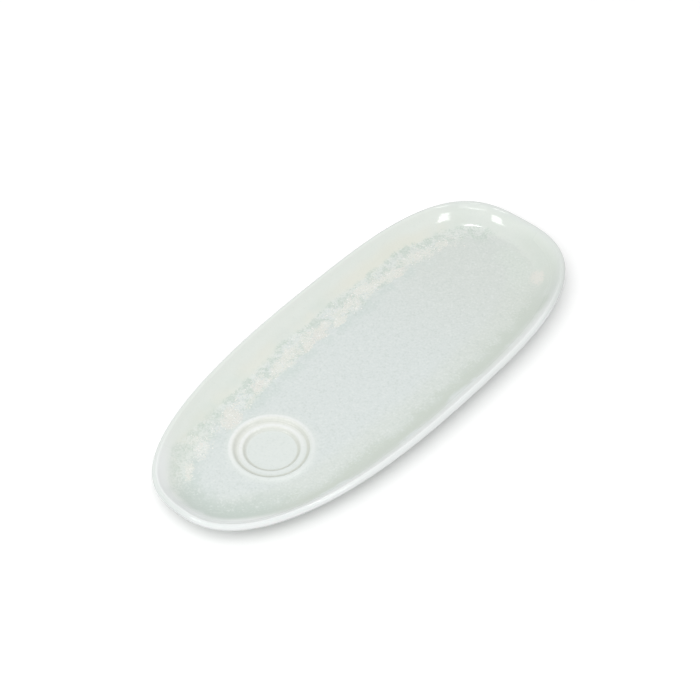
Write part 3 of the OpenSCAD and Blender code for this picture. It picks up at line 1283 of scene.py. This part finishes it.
@dataclass(frozen=True)
class CrystalGlaze(Finish):
    """Melted crystals, satin and slightly clouded, each in its own tone."""

    wave: ClassVar[float] = 0.0
    peel: ClassVar[float] = 0.004*MM
    gloss: ClassVar[float] = 0.36
    cream: Colour = colour(230, 232, 225)
    pink: Colour = colour(231, 229, 223)
    pale: Colour = colour(241, 242, 238)
    pink_from: Pair = (0.35, 0.6)
    pale_from: Pair = (0.55, 0.8)

    def surface(self, g: Graph) -> dict[str, Value]:
        """Builds its colour and skin.

        Args:
            g: The material's tree.

        Returns:
            What feeds each socket of the shader.
        """
        tone = g.stored(TONE, "Fac")
        glaze = Layers(g, self.cream)
        glaze.lay(self.pink, g.ramp(tone, *self.pink_from))
        glaze.lay(self.pale, g.ramp(tone, *self.pale_from))
        return {"Base Color": glaze.shade, **self.skin(g, g.object_place())}


@dataclass
class WellCoat:
    """The glaze coat of the inside: one closed shell over seat, floor, wall and lip."""

    form: PlateForm
    sweep: PlanSweep
    step_points: int = 12
    spread_rings: int = 26
    wall_rings: int = 24
    lip_rings: int = 22
    least_rings: int = 3
    under_detail: float = 0.4
    spread_power: float = 1.5
    wall_lead: float = 4*MM
    lap: float = math.radians(28)
    lap_depth: float = 0.02*MM

    def rings(self, depth: float = 0.0, detail: float = 1.0) -> list[Ring]:
        """Gives the rings of one face of the coat, from the seat's centre out over the lip.

        Args:
            depth: Distance under the visible surface.
            detail: Share of the full number of rings.

        Returns:
            The rings, from the centre outwards.
        """
        form, aim, floor_z = self.form, self.sweep.aim_inset, self.form.floor_z - depth
        full = (self.step_points, self.spread_rings, self.wall_rings, self.lip_rings)
        step, spread, wall, lip = (max(self.least_rings, round(count*detail)) for count in full)
        rings = [Ring(aim, z - depth, radius, 0.0) for radius, z in form.seat_profile(step)]
        shares = [(k/spread)**self.spread_power for k in range(1, spread + 1)]
        rings += [Ring(aim, floor_z, form.seat_radius, share) for share in shares]
        down = -math.pi/2
        turns = [form.inner_slope + (down - self.lap - form.inner_slope)*k/lip for k in range(lip + 1)]
        section = [(aim - self.wall_lead, floor_z)] + [form.inner_wall(k/wall, depth) for k in range(wall)]
        sunk = [depth + max(0.0, down - turn)*self.lap_depth/self.lap for turn in turns]
        section += [form.lip_at(turn, under) for turn, under in zip(turns, sunk)]
        return rings + [Ring(inset, z, form.seat_radius) for inset, z in section]

    def make(self, finish: bpy.types.Material) -> bpy.types.Object:
        """Builds the coat and lets it stand for its solid.

        Args:
            finish: Its material.

        Returns:
            The finished piece.
        """
        under = reversed(self.rings(self.form.glaze, self.under_detail))
        piece = self.sweep.piece("well_coat", [*self.rings(), *under], finish)
        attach(piece, BODY)
        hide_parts("well_glaze")
        return piece


@dataclass
class BackCoat:
    """The glaze coat of the outer wall, and of the underside inside the foot ring."""

    form: PlateForm
    sweep: PlanSweep
    wall_rings: int = 22
    lip_rings: int = 8
    step_points: int = 10
    spread_rings: int = 12
    hidden_wall_rings: int = 5
    hidden_step_points: int = 4
    bead_width: float = 1.0*MM
    bead_crest: float = 0.4*MM
    bead_height: float = 0.15*MM

    def outer_rings(self) -> list[Ring]:
        """Gives the outer band's closed section.

        Returns:
            The rings, from the lip down to the foot and back in the clay.
        """
        form, glaze = self.form, self.form.glaze
        start, end = -math.pi/2, self.form.outer_slope - math.pi
        face = [form.lip_at(start + (end - start)*k/self.lip_rings) for k in range(self.lip_rings)]
        face += [form.outer_wall(k/self.wall_rings) for k in range(self.wall_rings, -1, -1)]
        bead = [(form.foot_inset - self.bead_width, form.foot_height),
                (form.foot_inset - self.bead_crest, form.foot_height - self.bead_height),
                (form.foot_inset, form.foot_height)]
        back = [(form.foot_inset, form.foot_height + glaze)]
        back += [form.outer_wall(k/self.hidden_wall_rings, glaze) for k in range(self.hidden_wall_rings + 1)]
        back += [form.lip_at(start, glaze), face[0]]
        return [Ring(inset, z) for inset, z in face + bead + back]

    def inner_rings(self) -> list[Ring]:
        """Gives the inner plate's section.

        Returns:
            The rings, from the boss's centre to the foot ring and back above it.
        """
        form, aim = self.form, self.sweep.aim_inset
        edge = form.foot_inset + form.foot_width
        under = [Ring(aim, z, radius, 0.0) for radius, z in form.boss_profile(self.step_points)]
        shares = [k/self.spread_rings for k in range(1, self.spread_rings)]
        under += [Ring(edge, form.foot_height, form.boss_radius, share) for share in shares]
        under += [Ring(edge + self.bead_crest, form.foot_height - self.bead_height),
                  Ring(edge, form.foot_height)]
        above = reversed(form.boss_profile(self.hidden_step_points))
        return [*under, Ring(edge, form.foot_height + form.glaze),
                *(Ring(aim, z + form.glaze, radius, 0.0) for radius, z in above)]

    def make(self, finish: bpy.types.Material) -> list[bpy.types.Object]:
        """Builds both parts of the coat and lets them stand for their node.

        Args:
            finish: Their material.

        Returns:
            The outer and the inner part.
        """
        made = [self.sweep.piece("back_coat_outer", self.outer_rings(), finish),
                self.sweep.piece("back_coat_inner", self.inner_rings(), finish)]
        for piece in made:
            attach(piece, BODY)
            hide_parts("back_glaze")
        return made


@dataclass
class FootRing:
    """The bare standing ring, with its lower edges rounded off."""

    form: PlateForm
    sweep: PlanSweep
    round_points: int = 7

    def rings(self) -> list[Ring]:
        """Gives its closed section.

        Returns:
            The rings, down the outer side, in under it and up the inner side.
        """
        form = self.form
        outer, inner, top = form.foot_inset, form.foot_inset + form.foot_width, form.foot_height + form.glaze
        radius = form.foot_bevel
        turns = [math.pi/2*k/self.round_points for k in range(self.round_points + 1)]
        down = [(outer + radius*(1 - math.cos(turn)), radius*(1 - math.sin(turn))) for turn in turns]
        up = [(inner - radius*(1 - math.sin(turn)), radius*(1 - math.cos(turn))) for turn in turns]
        return [Ring(inset, z) for inset, z in [(outer, top), *down, *up, (inner, top), (outer, top)]]

    def make(self, finish: bpy.types.Material) -> bpy.types.Object:
        """Builds the ring and lets it stand for its solid.

        Args:
            finish: Its material.

        Returns:
            The finished piece.
        """
        piece = self.sweep.piece("foot_band", self.rings(), finish)
        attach(piece, BODY)
        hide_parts("foot_ring")
        return piece


@dataclass
class Crystals:
    """The melted crystals of the band: small flattened grains, scattered where the blooms are."""

    form: PlateForm
    sweep: PlanSweep
    blooms: BloomField
    spacing: float = 1.0*MM
    smallest: float = 0.25*MM
    largest: float = 0.65*MM
    flatness: float = 0.2
    slimmest: float = 0.75
    longest: float = 1.5
    stray_share: float = 0.4
    stray_band: Band = band(18, 22, 30, 36)
    stray_clumps: Cloud = Cloud(9*MM, 14.2, 0.35, 0.6)
    far_half: Pair = (-10*MM, 10*MM)
    strip_lead: float = 10*MM
    strip_step: float = 2*MM
    floor_rings: int = 9
    wall_rings: int = 15
    full_wall_rings: int = 24
    seed: int = 7

    def _cover(self, g: Graph) -> Value:
        """Builds how thickly the crystals lie.

        Args:
            g: The geometry tree.

        Returns:
            The share of the full density, from 0 to 1.
        """
        place = g.node("GeometryNodeInputPosition").outputs[0]
        rim = g.node("GeometryNodeInputNamedAttribute", {"Name": RIM}, data_type="FLOAT_VECTOR").outputs[0]
        blooms = g.most(0.0, *self.blooms.masks(g, place, rim).values())
        stray = g.times(g.hill(self.blooms.band_inset(g, place, rim), *self.stray_band),
                        self.stray_clumps.mask(g, g.flat(place)), self.blooms.on_band_side(g, rim),
                        self.stray_share)
        return g.most(g.times(blooms, g.ramp(g.split(rim)[1], *self.far_half)), stray)

    def _tree(self) -> bpy.types.NodeTree:
        """Builds the tree that scatters the crystals over the strip they lie on.

        Returns:
            The geometry tree, with named inputs for its sizes.
        """
        g, given, out = new_group(
            "crystal_scatter", "GeometryNodeTree",
            [("Strip", "Geometry"), ("Spacing", "Float"), ("Smallest", "Float"), ("Largest", "Float"),
             ("Flatness", "Float"), ("Seed", "Int"), ("Finish", "Material")],
            [("Geometry", "Geometry")])
        size = given.outputs
        points = g.node("GeometryNodeDistributePointsOnFaces", {
            "Mesh": size["Strip"], "Distance Min": size["Spacing"],
            "Density Max": g.over(1.0, g.times(size["Spacing"], size["Spacing"])),
            "Density Factor": self._cover(g), "Seed": size["Seed"]}, distribute_method="POISSON")
        grain = g.node("GeometryNodeMeshIcoSphere", {"Radius": 1.0, "Subdivisions": 1}).outputs["Mesh"]

        def chance(low: Value, high: Value, seed: int) -> Socket:
            """Draws a random number for each crystal.

            Args:
                low: The least that it may be.
                high: The most that it may be.
                seed: Tells this draw from the others.

            Returns:
                The number.
            """
            made = g.node("FunctionNodeRandomValue", data_type="FLOAT")
            for name, value in {"Min": low, "Max": high, "Seed": seed}.items():
                g.feed(next(s for s in made.inputs if s.name == name and s.enabled), value)
            return next(s for s in made.outputs if s.enabled)

        width = chance(size["Smallest"], size["Largest"], 1)
        length = g.times(width, chance(self.slimmest, self.longest, 2))
        spin = g.join(0.0, 0.0, chance(0.0, 2*math.pi, 3))
        laid = g.node("GeometryNodeInstanceOnPoints", {
            "Points": points.outputs["Points"], "Instance": grain, "Rotation": points.outputs["Rotation"],
            "Scale": g.join(length, width, g.times(width, size["Flatness"]))}).outputs[0]
        turned = g.node("GeometryNodeRotateInstances", {"Instances": laid, "Rotation": spin}).outputs[0]
        toned = g.node("GeometryNodeStoreNamedAttribute", {
            "Geometry": turned, "Name": TONE, "Value": chance(0.0, 1.0, 4)},
            data_type="FLOAT", domain="INSTANCE").outputs[0]
        real = g.node("GeometryNodeRealizeInstances", {"Geometry": toned}).outputs[0]
        faced = g.node("GeometryNodeSetShadeSmooth", {"Geometry": real, "Shade Smooth": False}).outputs[0]
        dressed = g.node("GeometryNodeSetMaterial", {"Geometry": faced, "Material": size["Finish"]})
        g.feed(out.inputs[0], dressed.outputs[0])
        return g.tree

    def make(self, finish: bpy.types.Material) -> bpy.types.Object:
        """Scatters the crystals and lets them stand for the thin sheet of the solids.

        Args:
            finish: Their material.

        Returns:
            The finished piece.
        """
        form, inset = self.form, self.sweep.aim_inset + self.strip_lead
        floor = [Ring(inset - self.strip_step*k, form.floor_z) for k in range(self.floor_rings)]
        wall = [Ring(*form.inner_wall(k/self.full_wall_rings)) for k in range(self.wall_rings)]
        strip = self.sweep.piece("crystal_strip", floor + wall, None)
        base = strip.data
        bpy.data.objects.remove(strip)
        if sum(polygon.normal.z*polygon.area for polygon in base.polygons) < 0:
            base.flip_normals()
        piece = run_nodes(base, "melted_crystals", self._tree(), {
            "Spacing": self.spacing, "Smallest": self.smallest, "Largest": self.largest,
            "Flatness": self.flatness, "Seed": self.seed, "Finish": finish})
        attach(piece, BODY)
        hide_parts("crystal_glaze")
        return piece


class LampRole(Enum):
    """What a studio lamp is for."""

    SOFT = "soft"
    GLINT = "glint"


@dataclass(frozen=True)
class Lamp:
    """One rectangular studio lamp, placed by the direction that it is seen in from what it lights."""

    name: str
    role: LampRole
    azimuth: float
    elevation: float
    distance: float
    width: float
    height: float
    watts: float
    target: tuple[float, float, float] = (0.0, 0.0, 0.0)
    turn: float = 0.0

    def make(self) -> bpy.types.Object:
        """Adds the lamp to the scene.

        Returns:
            The lamp.
        """
        data = bpy.data.lights.new(self.name, "AREA")
        data.shape, data.size, data.size_y, data.energy = "RECTANGLE", self.width, self.height, self.watts
        lamp = bpy.data.objects.new(self.name, data)
        azimuth, elevation = math.radians(self.azimuth), math.radians(self.elevation)
        level = math.cos(elevation)
        way = Vector((math.cos(azimuth)*level, math.sin(azimuth)*level, math.sin(elevation)))
        lamp.location = Vector(self.target) + way*self.distance
        turned = Quaternion((0.0, 0.0, 1.0), math.radians(self.turn))
        lamp.rotation_euler = ((-way).to_track_quat("-Z", "Y") @ turned).to_euler()
        lamp.visible_diffuse = self.role is LampRole.SOFT
        lamp.visible_glossy = self.role is LampRole.GLINT
        bpy.context.scene.collection.objects.link(lamp)
        return lamp


@dataclass(frozen=True)
class Studio:
    """Pale floor, soft light and the camera."""

    ambient: float = 0.7
    floor_albedo: float = 0.6
    floor_seen: float = 1.19
    floor_half: float = 6.0
    lens: float = 85.0
    sensor: float = 36.0
    nearest: float = 0.05
    farthest: float = 50.0
    azimuth: float = -49.312
    elevation: float = 46.3
    distance: float = 1149.48*MM
    target: tuple[float, float, float] = (8.584*MM, 23.366*MM, 0.0)
    lamps: Sequence[Lamp] = (
        Lamp("front_lamp", LampRole.SOFT, -130, 60, 1.5, 1.0, 0.9, 2.65),
        Lamp("low_side_lamp", LampRole.SOFT, -170, 35, 1.5, 1.0, 0.9, 3.0),
        Lamp("high_side_lamp", LampRole.SOFT, -170, 60, 1.5, 1.0, 0.9, 2.3),
        Lamp("back_lamp", LampRole.SOFT, 110, 65, 1.5, 1.0, 0.9, 0.7),
        Lamp("left_glint", LampRole.GLINT, -84.5, 57.5, 1.2, 0.47, 0.17, 1.75, (148*MM, 51*MM, 13*MM), 54),
        Lamp("right_glint", LampRole.GLINT, 156.5, 52.5, 1.2, 0.39, 0.19, 1.6, (170*MM, 19*MM, 13*MM), 124),
        Lamp("high_glint", LampRole.GLINT, 38, 75.5, 1.2, 0.20, 0.11, 0.85, (158*MM, 32*MM, 9*MM)),
        Lamp("lip_glint", LampRole.GLINT, -149, 48, 1.2, 0.80, 0.014, 0.9, (167*MM, 39*MM, 16*MM)),
    )

    def world(self) -> None:
        """Makes a world that is white to the camera and in reflections, and a plain soft light elsewhere."""
        world = bpy.data.worlds.new("studio")
        g = fresh_graph(world)
        strength = g.add(self.ambient, g.times(self._seen(g), 1.0 - self.ambient))
        back = g.node("ShaderNodeBackground", {"Color": (1.0, 1.0, 1.0, 1.0), "Strength": strength})
        g.feed(g.node("ShaderNodeOutputWorld").inputs["Surface"], back.outputs[0])
        bpy.context.scene.world = world

    @staticmethod
    def _seen(g: Graph) -> Value:
        """Is 1 for what the camera sees directly, in a reflection or through glass."""
        path = g.node("ShaderNodeLightPath").outputs
        return g.most(path["Is Camera Ray"], path["Is Glossy Ray"], path["Is Transmission Ray"])

    def floor(self) -> bpy.types.Object:
        """Makes the plain pale floor, which keeps the plate's shadow.

        Returns:
            The floor.
        """
        corners = [(x*self.floor_half, y*self.floor_half, 0) for x, y in ((-1, -1), (1, -1), (1, 1), (-1, 1))]
        mesh = bpy.data.meshes.new("studio_floor")
        mesh.from_pydata(corners, [], [(0, 1, 2, 3)])
        material = bpy.data.materials.new("pale_floor")
        g = fresh_graph(material)
        level = g.add(self.floor_albedo, g.times(self._seen(g), self.floor_seen - self.floor_albedo))
        matte = g.node("ShaderNodeBsdfDiffuse", {"Color": g.join(level, level, level)}).outputs[0]
        g.feed(g.node("ShaderNodeOutputMaterial").inputs["Surface"], matte)
        mesh.materials.append(material)
        floor = bpy.data.objects.new("studio_floor", mesh)
        bpy.context.scene.collection.objects.link(floor)
        return floor

    def camera(self) -> bpy.types.Object:
        """Places the camera at the photograph's angle.

        Returns:
            The camera.
        """
        azimuth, elevation = math.radians(self.azimuth), math.radians(self.elevation)
        level = math.cos(elevation)
        back = Vector((math.sin(azimuth)*level, -math.cos(azimuth)*level, math.sin(elevation)))
        right = Vector((math.cos(azimuth), math.sin(azimuth), 0.0))
        axes = Matrix((right, back.cross(right), back)).transposed()
        data = bpy.data.cameras.new("camera")
        data.lens, data.sensor_width = self.lens, self.sensor
        data.clip_start, data.clip_end = self.nearest, self.farthest
        camera = bpy.data.objects.new("camera", data)
        camera.matrix_world = Matrix.Translation(Vector(self.target) + back*self.distance) @ axes.to_4x4()
        bpy.context.scene.collection.objects.link(camera)
        bpy.context.scene.camera = camera
        return camera

    def make(self) -> None:
        """Sets the whole studio up."""
        self.camera()
        self.world()
        self.floor()
        for lamp in self.lamps:
            lamp.make()
        bpy.context.scene.view_settings.view_transform = "Standard"


def report(pieces: Iterable[bpy.types.Object]) -> None:
    """Logs the size of each finished piece."""
    for piece in pieces:
        log.info("%s: %d faces", piece.name, len(piece.data.polygons))


def main() -> None:
    """Builds the studio, dresses the plate and reports each piece."""
    logging.basicConfig(level=logging.INFO, format="%(message)s")
    Studio().make()
    form, kit, blooms = PlateForm(), GroupKit(), BloomField()
    sweep = PlanSweep(Plan(), form)
    clay = Clay("fired_clay", kit)
    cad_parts["plate_body"].data.materials.clear()
    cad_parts["plate_body"].data.materials.append(clay.build())
    bare = Clay("bare_foot_clay", kit, body=colour(214, 203, 184), grit_depth=0.08*MM)
    well = WellGlaze("well_glaze", kit, blooms, form.seat_x, form.seat_radius)
    report([
        WellCoat(form, sweep).make(well.build()),
        *BackCoat(form, sweep).make(BackGlaze("back_glaze", kit).build()),
        FootRing(form, sweep).make(bare.build()),
        Crystals(form, sweep, blooms).make(CrystalGlaze("crystal_glaze", kit).build()),
    ])


if __name__ == "__main__":
    main()
